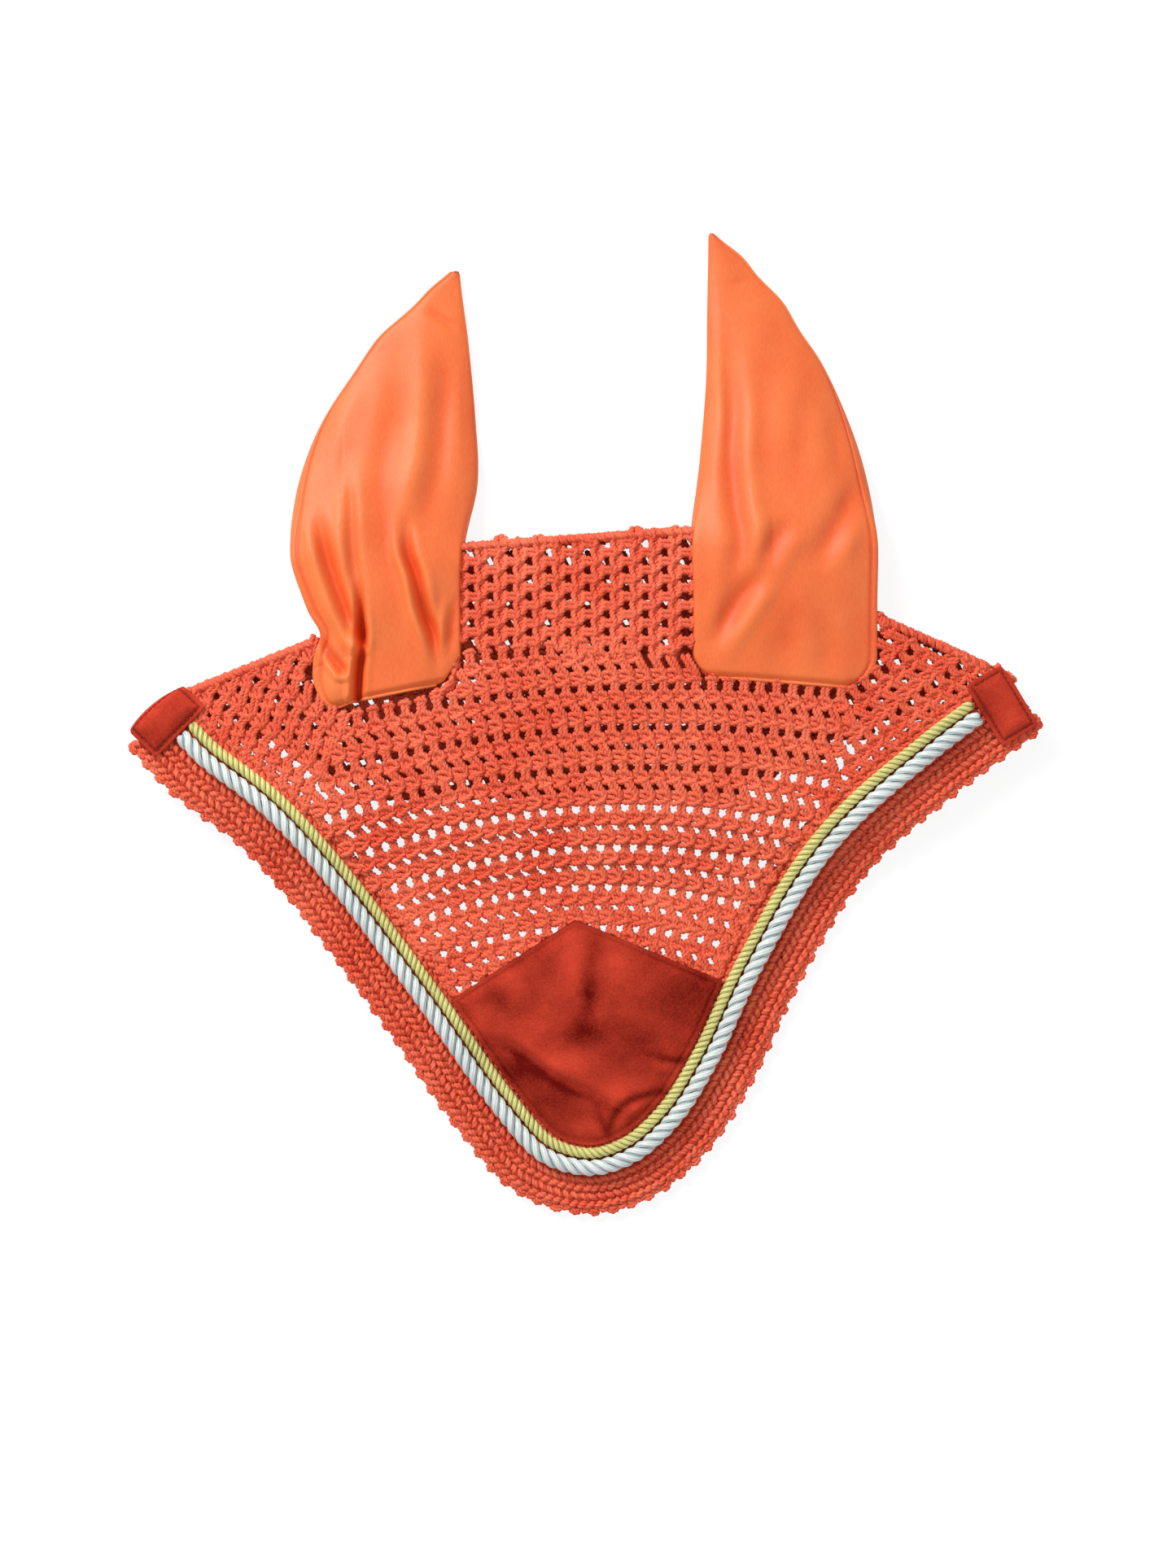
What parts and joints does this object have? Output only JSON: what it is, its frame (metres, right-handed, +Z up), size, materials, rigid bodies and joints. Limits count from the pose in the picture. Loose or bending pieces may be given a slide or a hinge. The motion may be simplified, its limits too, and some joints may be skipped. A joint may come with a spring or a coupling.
{
  "type": "horse fly mask",
  "caption": "Crocheted ear bonnet for a horse, laid flat, with cloth ear sleeves, a twisted cord border, a forehead patch and corner tabs.",
  "frame": {"origin": "centre of the outline, on the surface the bonnet lies on", "axes": "+Y from the forehead tip towards the ear tips, +Z up, out of the face of the bonnet"},
  "size_m": [0.4946, 0.5309, 0.0237],
  "materials": {
    "crochet": "crocheted twisted cotton cord, matt",
    "ear_cloth": "smooth stretch cloth, soft sheen",
    "suede": "brushed suede-like cloth",
    "silver_cord": "twisted silky cord, soft sheen",
    "gold_cord": "twisted silky cord, soft sheen",
    "thread": "sewing thread, satin"
  },
  "bodies": {
    "bonnet": {"forehead_mesh": "crochet", "poll_mesh": "crochet", "left_wing_mesh": "crochet", "right_wing_mesh": "crochet", "nape_flap": "crochet", "poll_fold_edge": "crochet", "left_fold_edge": "crochet", "right_fold_edge": "crochet", "left_ear_hole_edge": "crochet", "right_ear_hole_edge": "crochet", "border_band": "crochet", "scallop_edging": "crochet", "silver_cord": "silver_cord", "gold_cord": "gold_cord", "forehead_patch": "suede", "left_tab": "suede", "right_tab": "suede", "patch_stitching": "thread", "tab_stitching": "thread"},
    "left_ear": {"left_ear_front": "ear_cloth", "left_ear_back": "ear_cloth", "left_ear_seam": "ear_cloth", "left_ear_hem": "ear_cloth"},
    "right_ear": {"right_ear_front": "ear_cloth", "right_ear_back": "ear_cloth", "right_ear_seam": "ear_cloth", "right_ear_hem": "ear_cloth"}
  },
  "joints": [
    {"name": "left_ear_fold", "type": "hinge", "parent": "bonnet", "child": "left_ear", "pos_m": [-0.1085, 0.0145, 0.015], "axis": [1, 0, 0], "range_deg": [0, 150]},
    {"name": "right_ear_fold", "type": "hinge", "parent": "bonnet", "child": "right_ear", "pos_m": [0.1075, 0.0245, 0.015], "axis": [1, 0, 0], "range_deg": [0, 150]}
  ]
}
